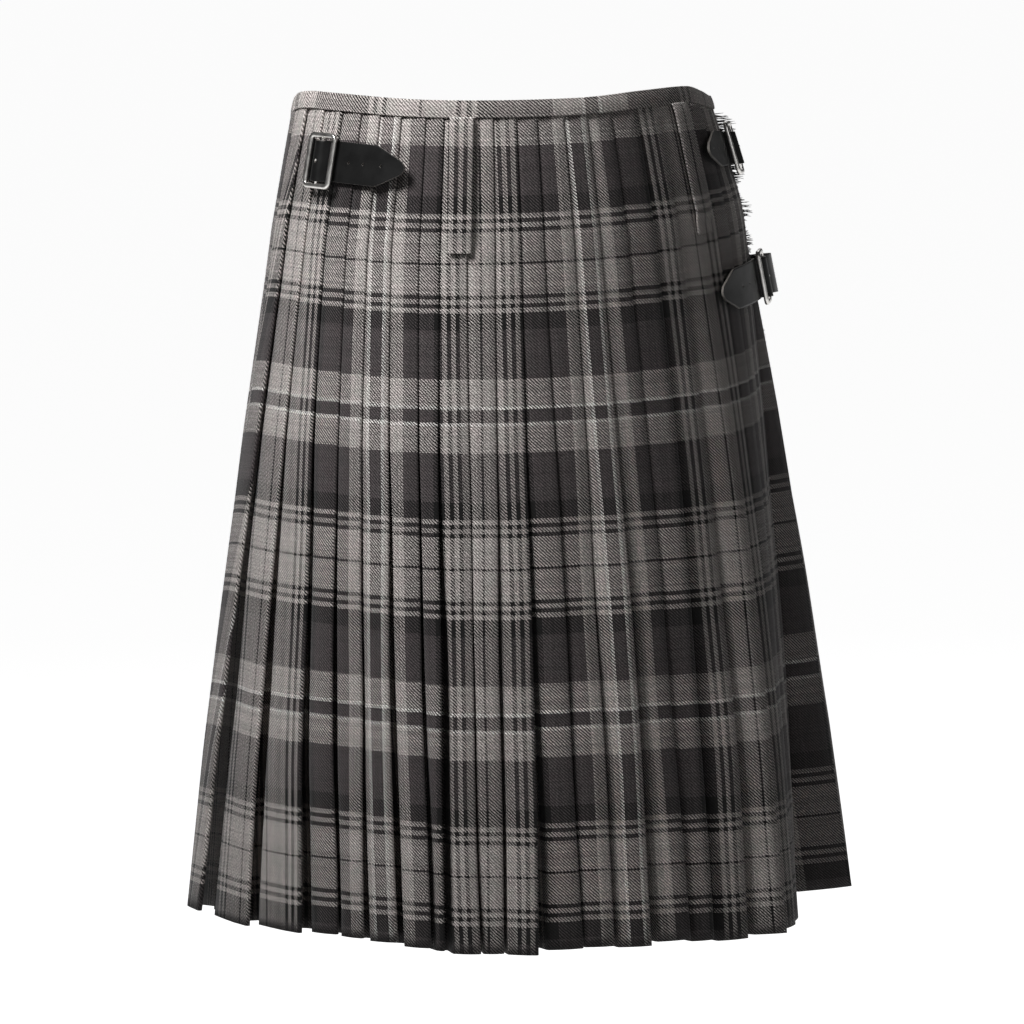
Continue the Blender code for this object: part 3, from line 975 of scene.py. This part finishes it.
class KILT_OT_fringe(bpy.types.Operator):
    """Make the frayed threads along the over apron's free edge"""

    bl_idname = "kilt.fringe"
    bl_label = "Fringe"

    def execute(self, context):
        chance = random.Random(7)
        shape = bmesh.new()
        drop = FRINGE_TOP
        while drop < LENGTH - 2.0:
            drop += chance.uniform(*FRINGE_SPACING)
            clump = 0.5 + 0.5 * math.sin(drop / 7.0 + math.sin(drop / 17.0) * 2.0)
            clump *= blend(1.0, 0.1, ease((drop - CLUMPS_DROP) / 40.0))
            tuft = ease((TUFT_DROP - drop) / 20.0)
            clump = max(clump, tuft)
            length = (blend(*FRINGE_LENGTH, clump) + TUFT_LONGER * tuft) * chance.uniform(0.7, 1.15)
            angle = fold_angle(APRON_EDGE, drop)
            out = apron_out(drop)
            root = on_form(angle + degrees_for(1.5, angle, drop), drop, out)
            tip = on_form(angle - degrees_for(length, angle, drop), drop, out)
            tip.z += chance.uniform(-3.0, 1.5)
            outward = on_form(angle, drop, out + 1.0) - on_form(angle, drop, out)
            tip += outward * (blend(*FRINGE_OUT, clump) + TUFT_OUT * tuft) * chance.uniform(0.5, 1.2)
            turn = (tip - root).to_track_quat("Z", "Y").to_matrix().to_4x4()
            bmesh.ops.create_cone(
                shape, cap_ends=True, segments=4, radius1=YARN_ROOT_RADIUS * MM, radius2=YARN_TIP_RADIUS * MM,
                depth=(tip - root).length * MM, matrix=Matrix.Translation((root + tip) / 2.0 * MM) @ turn)
        piece = add_mesh("fringe", shape, [yarn_ends()])
        declare(piece, "fringe", "apron_fringe")
        return {"FINISHED"}


class KILT_OT_waistband(bpy.types.Operator):
    """Make the bound waistband, which runs on under the over apron"""

    bl_idname = "kilt.waistband"
    bl_label = "Waistband"

    def execute(self, context):
        first, last = APRON_EDGE.sewn_angle - 360.0, UNDER_APRON_END
        table = arc_table(5.0, 0.0, first, last)
        rows, places = [], []
        for drop in BAND_DROPS:
            roll = 0.6 * math.sin(math.pi * drop / BAND_HEIGHT)
            line, cloth_line = [], []
            for step in range(BAND_STEPS + 1):
                angle = blend(first, last, step / BAND_STEPS)
                over_to_back = ease((angle - APRON_FOLD.sewn_angle) / 3.0)
                back_to_under = ease((angle - PLEATS_END.sewn_angle + 12.0) / 8.0)
                out = blend(BAND_ON_APRON, BAND_ON_PLEATS, over_to_back)
                out = blend(out, UNDER_APRON_OUT, back_to_under)
                line.append(on_form(angle, drop, out + roll))
                across = (arc_at(table, angle) - BAND_PIVOT) / BAND_EASE + HALF_SETT_WIDTH
                cloth_line.append((across, across, BAND_STRIPE_DOWN + drop))
            rows.append(line)
            places.append(cloth_line)
        piece = add_sheet("band", rows, places, [tartan()], BAND_THICKNESS * MM)
        round_edges(piece, "rounded edges", 0.0009, 3)
        declare(piece, "waistband", "waistband")
        return {"FINISHED"}


class KILT_OT_loops(bpy.types.Operator):
    """Make the two belt loops, matched to the pleats that they lie on"""

    bl_idname = "kilt.loops"
    bl_label = "Belt loops"

    def execute(self, context):
        for belt_loop in LOOPS:
            rows, places = [], []
            for row in range(LOOP_ROWS + 1):
                drop = blend(LOOP_BOTTOM, LOOP_TOP, row / LOOP_ROWS)
                lift = ease((LOOP_BOTTOM - 8.0 - drop) / 8.0) * ease((drop - LOOP_TOP) / 6.0)
                out = blend(LOOP_END_OUT, LOOP_OUT, lift)
                line, cloth_line = [], []
                for step in range(LOOP_STEPS + 1):
                    across = (step / LOOP_STEPS - 0.5) * LOOP_WIDTH
                    angle = belt_loop.angle + degrees_for(across, belt_loop.angle, drop)
                    edge_roll = 0.5 * (2.0 * across / LOOP_WIDTH) ** 4
                    line.append(on_form(angle, drop, out - edge_roll))
                    place = pleat_stripe(belt_loop.pleat) + across
                    cloth_line.append((place, place, drop - PIVOT_DROP))
                rows.append(line)
                places.append(cloth_line)
            piece = add_sheet(f"loop_{belt_loop.side}", rows, places, [tartan()], LOOP_THICKNESS * MM)
            round_edges(piece, "rounded edges", 0.0006, 2)
            declare(piece, "belt_loop", f"belt_loop_{belt_loop.side}")
        return {"FINISHED"}


def smooth_path(points, count):
    """Even steps along a smooth curve through points, given as tuples of numbers."""
    spans = len(points) - 1
    made = []
    for index in range(count + 1):
        place = min(index / count * spans, spans - 1e-6)
        base = int(place)
        share = place - base
        around = [points[min(max(base + offset, 0), spans)] for offset in (-1, 0, 1, 2)]
        values = []
        for a, b, c, d in zip(*around):
            values.append(b + 0.5 * share * (c - a + share * (2 * a - 5 * b + 4 * c - d
                          + share * (3 * (b - c) + d - a))))
        made.append(tuple(values))
    return made


def tip_side(strap):
    return 1.0 if strap.tip_angle > strap.buckle_angle else -1.0


def angle_along(strap, length):
    """The angle that is a length along a strap from its buckle's middle bar, towards the tip."""
    return strap.buckle_angle + tip_side(strap) * degrees_for(length, strap.buckle_angle, strap.drop)


def strap_path(strap):
    """A strap's way as pairs of angle and outward: root, buckle, tail and tip."""
    half = BUCKLE_LENGTH / 2.0
    window = half - BUCKLE_BAR - BAR_CLEAR
    crest = BUCKLE_BAR / 2.0 + BAR_CLEAR
    if strap.bulge_angle is None:
        path = [(strap.root_angle, STRAP_ON_PLEATS), (angle_along(strap, -half - 1.0), STRAP_UNDER_BAR - 0.6)]
    else:
        path = []
        for share in (0.0, 0.3, 0.7, 1.0):
            out = blend(ON_APRON_OUT, strap.bulge, math.sin(math.radians(90.0 * share)))
            path.append((blend(strap.root_angle, strap.bulge_angle, share), out))
        out = blend(STRAP_UNDER_BAR, strap.bulge, 0.6)
        path.append((blend(strap.bulge_angle, angle_along(strap, -half), 0.6), out))
    for length, out in (
        (-half, STRAP_UNDER_BAR), (-window, STRAP_UNDER_BAR), (-crest, STRAP_OVER_BAR),
        (crest, STRAP_OVER_BAR), (window, STRAP_UNDER_BAR), (half + 2.0, STRAP_UNDER_BAR),
    ):
        path.append((angle_along(strap, length), out))
    last = path[-1][0]
    for share in (0.25, 0.5, 0.75, 1.0):
        path.append((blend(last, strap.tip_angle, share), STRAP_UNDER_BAR + TIP_SPRING * share * share))
    return path


def strap_width(to_tip):
    """A strap's width at a distance from its tip: straight sides, two cut shoulders and a blunt point."""
    cut = blend(TIP_WIDTH, STRAP_WIDTH, clamp(to_tip / TIP_LENGTH))
    rounded = math.sqrt(clamp(1.0 - (1.0 - clamp(to_tip / TIP_ROUND)) ** 2))
    return cut * max(rounded, TIP_BLUNT)


def strap_lines(strap):
    """A strap's rows of points, their places along and across the leather, and its length."""
    fine = smooth_path(strap_path(strap), 600)
    line = [on_form(angle, strap.drop, out) for angle, out in fine]
    along = [0.0]
    for before, after in zip(line, line[1:]):
        along.append(along[-1] + (after - before).length)
    count = round(along[-1] / STRAP_STEP)
    stations, place = [], 0
    for index in range(count + 1):
        wanted = along[-1] * index / count
        while place < len(along) - 1 and along[place] < wanted:
            place += 1
        stations.append((*fine[place], wanted))
    if tip_side(strap) < 0.0:
        stations.reverse()
    rows, places = [], []
    for row in range(STRAP_ROWS + 1):
        share = 0.5 - row / STRAP_ROWS
        points, cloth_line = [], []
        for angle, out, run in stations:
            width = strap_width(along[-1] - run)
            points.append(on_form(angle, strap.drop + share * width, out))
            cloth_line.append((run, run, share * width))
        rows.append(points)
        places.append(cloth_line)
    return rows, places, stations, along[-1]


def strap_holes(strap, stations):
    """The grid places of a strap's holes: one over the middle bar, the rest towards the tip."""
    holes = set()
    for distance in HOLE_DISTANCES:
        angle = angle_along(strap, distance)
        nearest = min(range(len(stations)), key=lambda index: abs(stations[index][0] - angle))
        holes.add((STRAP_ROWS // 2, nearest))
    return holes


def make_strap(strap, trim):
    rows, places, stations, length = strap_lines(strap)
    piece = add_sheet(f"{strap.name}_strap_{strap.side}_leather", rows, places, [leather(), leather_edge()],
                      trim.strap_thickness, 1, strap_holes(strap, stations), trim.hole_radius)
    smooth = piece.modifiers.new("smooth bends", "SUBSURF")
    smooth.levels = 1
    smooth.render_levels = 1
    smooth.boundary_smooth = "PRESERVE_CORNERS"
    # The leather bends before it gets its thickness.
    piece.modifiers.move(1, 0)
    edge = round_edges(piece, "burnished edges", 0.0004, 2)
    edge.angle_limit = math.radians(50.0)
    edge.material = 1
    declare(piece, "strap_leather", f"{strap.name}_strap_{strap.side}")


def make_tab(strap, trim):
    """The tab that holds a buckle: it runs from the middle bar towards the strap's tip."""
    angles = [angle_along(strap, TAB_LENGTH * step / TAB_STEPS) for step in range(TAB_STEPS + 1)]
    angles.sort()
    rows, places = [], []
    for row in range(TAB_ROWS + 1):
        across = (0.5 - row / TAB_ROWS) * TAB_WIDTH
        rows.append([on_form(angle, strap.drop + across, TAB_OUT) for angle in angles])
        places.append([(angle, angle, across) for angle in angles])
    tab = add_sheet(f"{strap.name}_tab_{strap.side}_leather", rows, places, [leather(), leather_edge()],
                    trim.strap_thickness, 1)
    declare(tab, "tab_leather", f"{strap.name}_tab_{strap.side}")


class KILT_OT_straps(bpy.types.Operator):
    """Make the leather straps and the tabs that hold their buckles"""

    bl_idname = "kilt.straps"
    bl_label = "Straps and tabs"

    def execute(self, context):
        for strap in STRAPS:
            make_strap(strap, context.scene.kilt_trim)
            make_tab(strap, context.scene.kilt_trim)
        return {"FINISHED"}


def buckle_place(strap):
    """The matrix that lays a buckle on the form: x round the body, y up, z out."""
    centre = on_form(strap.buckle_angle, strap.drop, BUCKLE_OUT)
    across = on_form(strap.buckle_angle + 1.0, strap.drop) - on_form(strap.buckle_angle - 1.0, strap.drop)
    down = on_form(strap.buckle_angle, strap.drop + 5.0) - on_form(strap.buckle_angle, strap.drop - 5.0)
    across.normalize()
    outward = across.cross(down).normalized()
    if outward.dot(Vector((centre.x, centre.y, 0.0))) < 0.0:
        outward.negate()
    up = outward.cross(across)
    return Matrix.Translation(centre * MM) @ Matrix((across, up, outward)).transposed().to_4x4()


def buckle_frame():
    """A rounded frame of round section, flat at the origin: x along the strap, y across it, z out."""
    shape = bmesh.new()
    bmesh.ops.create_grid(shape, x_segments=1, y_segments=1, size=0.5)
    bmesh.ops.scale(shape, vec=(BUCKLE_LENGTH * MM, BUCKLE_HEIGHT * MM, 1.0), verts=shape.verts)
    bmesh.ops.bevel(shape, geom=shape.verts[:], offset=BUCKLE_CORNER * MM, offset_type="OFFSET", segments=7,
                    profile=0.5, affect="VERTICES", material=-1)
    outer = max(shape.faces, key=lambda face: face.calc_area())
    bmesh.ops.inset_region(
        shape, faces=[outer], thickness=BUCKLE_BAR * MM, use_boundary=True, use_even_offset=True)
    inner = min((face for face in shape.faces if len(face.verts) > 4), key=lambda face: face.calc_area())
    bmesh.ops.delete(shape, geom=[inner], context="FACES")
    made = bmesh.ops.extrude_face_region(shape, geom=shape.faces[:])
    lifted = [item for item in made["geom"] if isinstance(item, bmesh.types.BMVert)]
    bmesh.ops.translate(shape, vec=(0.0, 0.0, BUCKLE_DEPTH * MM), verts=lifted)
    bmesh.ops.translate(shape, vec=(0.0, 0.0, -BUCKLE_DEPTH * MM / 2.0), verts=shape.verts)
    rims = [edge for edge in shape.edges if len(edge.link_faces) == 2 and edge.calc_face_angle(0.0) > 1.2]
    bmesh.ops.bevel(shape, geom=rims, offset=BUCKLE_ROUNDING * MM, offset_type="OFFSET", segments=4,
                    profile=0.5, affect="EDGES", material=-1)
    return shape


class KILT_OT_buckles(bpy.types.Operator):
    """Make the nickel buckles with their middle bars and the stubs of their prongs"""

    bl_idname = "kilt.buckles"
    bl_label = "Buckles"

    def execute(self, context):
        for strap in STRAPS:
            shape = buckle_frame()
            bmesh.ops.create_cone(
                shape, cap_ends=True, segments=20, radius1=MIDDLE_BAR_RADIUS * MM,
                radius2=MIDDLE_BAR_RADIUS * MM, depth=(BUCKLE_HEIGHT - BUCKLE_BAR) * MM,
                matrix=Matrix.Rotation(math.radians(90.0), 4, "X"))
            bmesh.ops.create_cone(
                shape, cap_ends=True, segments=16, radius1=PRONG_RADIUS * MM, radius2=PRONG_TIP_RADIUS * MM,
                depth=PRONG_LENGTH * MM, matrix=Matrix.Translation((0.0, 0.0, PRONG_OUT * MM)))
            bmesh.ops.recalc_face_normals(shape, faces=shape.faces)
            for face in shape.faces:
                face.smooth = True
            bmesh.ops.transform(shape, matrix=buckle_place(strap), verts=shape.verts)
            piece = add_mesh(f"{strap.name}_buckle_{strap.side}_nickel", shape, [nickel()])
            declare(piece, "buckle_metal", f"{strap.name}_buckle_{strap.side}")
        return {"FINISHED"}


# A lamp stands at an azimuth from the front, this far out and this far up, in metres; its power is in watts.
Lamp = namedtuple("Lamp", "name azimuth away height size power")
LAMPS = (
    Lamp("key", 110.0, 0.98, 0.84, 0.45, 19.0),
    Lamp("fill", 182.0, 3.0, 0.8, 1.0, 8.4),
    Lamp("front", -30.0, 2.2, 1.4, 1.6, 16.0),
)
FLOOR_GREY = (0.86, 0.86, 0.86, 1.0)
FLOOR_GLOW = 0.95
SKY_STRENGTH = 0.02
VIEW_SIDE_SHIFT = 0.005
VIEW_DOWN_SHIFT = 0.0095


def stand(name, data, place):
    """Links a lamp or a camera, placed and turned by a matrix."""
    holder = bpy.data.objects.new(name, data)
    holder.matrix_world = place
    bpy.context.scene.collection.objects.link(holder)
    return holder


def from_front(azimuth, away, height):
    return Vector((math.sin(azimuth) * away, -math.cos(azimuth) * away, height))


class KILT_OT_stage(bpy.types.Operator):
    """Make the pale floor, the soft lights and the camera"""

    bl_idname = "kilt.stage"
    bl_label = "Stage"

    def execute(self, context):
        stage = context.scene.kilt_stage
        hem = CAD_BOX[0][2]
        floor_shape = bmesh.new()
        bmesh.ops.create_grid(floor_shape, x_segments=1, y_segments=1, size=60.0)
        bmesh.ops.translate(floor_shape, vec=(0.0, 0.0, hem - stage.floor_drop), verts=floor_shape.verts)
        material, _, _ = new_material(
            "Pale floor", 0.9, Base_Color=FLOOR_GREY, Emission_Color=(1.0, 1.0, 1.0, 1.0),
            Emission_Strength=FLOOR_GLOW)
        floor = add_mesh("floor", floor_shape, [material])
        floor.visible_diffuse = False

        world = context.scene.world or bpy.data.worlds.new("Studio")
        context.scene.world = world
        world.use_nodes = True
        sky = world.node_tree.nodes["Background"]
        sky.inputs["Color"].default_value = (1.0, 1.0, 1.0, 1.0)
        sky.inputs["Strength"].default_value = SKY_STRENGTH

        middle = Vector((0.0, 0.0, -LENGTH * MM / 2.0))
        for lamp in LAMPS:
            light = bpy.data.lights.new(lamp.name, "AREA")
            light.energy = lamp.power
            light.size = lamp.size
            away = from_front(math.radians(lamp.azimuth), lamp.away, lamp.height)
            turn = (away - middle).to_track_quat("Z", "Y")
            stand(lamp.name, light, Matrix.Translation(away) @ turn.to_matrix().to_4x4())

        camera = bpy.data.cameras.new("camera")
        camera.lens = stage.lens
        camera.sensor_width = 36.0
        camera.clip_end = 200.0
        target = middle + from_front(stage.azimuth + math.radians(270.0), VIEW_SIDE_SHIFT, -VIEW_DOWN_SHIFT)
        away = from_front(stage.azimuth, math.cos(stage.elevation), math.sin(stage.elevation))
        turn = away.to_track_quat("Z", "Y") @ Matrix.Rotation(stage.roll, 3, "Z").to_quaternion()
        place = Matrix.Translation(target + away * stage.distance) @ turn.to_matrix().to_4x4()
        context.scene.camera = stand("camera", camera, place)
        context.scene.view_settings.view_transform = "Standard"
        return {"FINISHED"}


class KILT_PT_panel(bpy.types.Panel):
    """Lists the kilt's pieces and their sizes and colours"""

    bl_idname = "KILT_PT_panel"
    bl_label = "Kilt"
    bl_space_type = "VIEW_3D"
    bl_region_type = "UI"
    bl_category = "Kilt"

    def draw(self, context):
        layout = self.layout
        for group_name, operators in PANEL_ROWS:
            group = getattr(context.scene, group_name)
            box = layout.box()
            for prop in group.bl_rna.properties:
                if not prop.is_readonly and prop.identifier != "name":
                    box.prop(group, prop.identifier)
            for operator in operators:
                box.operator(operator.bl_idname)


PANEL_ROWS = (
    ("kilt_cloth", (KILT_OT_pleats, KILT_OT_aprons, KILT_OT_fringe, KILT_OT_waistband, KILT_OT_loops)),
    ("kilt_trim", (KILT_OT_straps, KILT_OT_buckles)),
    ("kilt_stage", (KILT_OT_stage,)),
)
GROUPS = (
    ("kilt_cloth", KILT_PG_cloth),
    ("kilt_trim", KILT_PG_trim),
    ("kilt_stage", KILT_PG_stage),
)


def register():
    for name, group in GROUPS:
        bpy.utils.register_class(group)
        setattr(bpy.types.Scene, name, bpy.props.PointerProperty(type=group))
    for _, operators in PANEL_ROWS:
        for operator in operators:
            bpy.utils.register_class(operator)
    bpy.utils.register_class(KILT_PT_panel)


def unregister():
    bpy.utils.unregister_class(KILT_PT_panel)
    for _, operators in reversed(PANEL_ROWS):
        for operator in reversed(operators):
            bpy.utils.unregister_class(operator)
    for name, group in reversed(GROUPS):
        delattr(bpy.types.Scene, name)
        bpy.utils.unregister_class(group)


def main():
    register()
    bpy.ops.kilt.stage()
    bpy.ops.kilt.pleats()
    bpy.ops.kilt.aprons()
    bpy.ops.kilt.fringe()
    bpy.ops.kilt.waistband()
    bpy.ops.kilt.loops()
    bpy.ops.kilt.straps()
    bpy.ops.kilt.buckles()


if __name__ == "__main__":
    main()
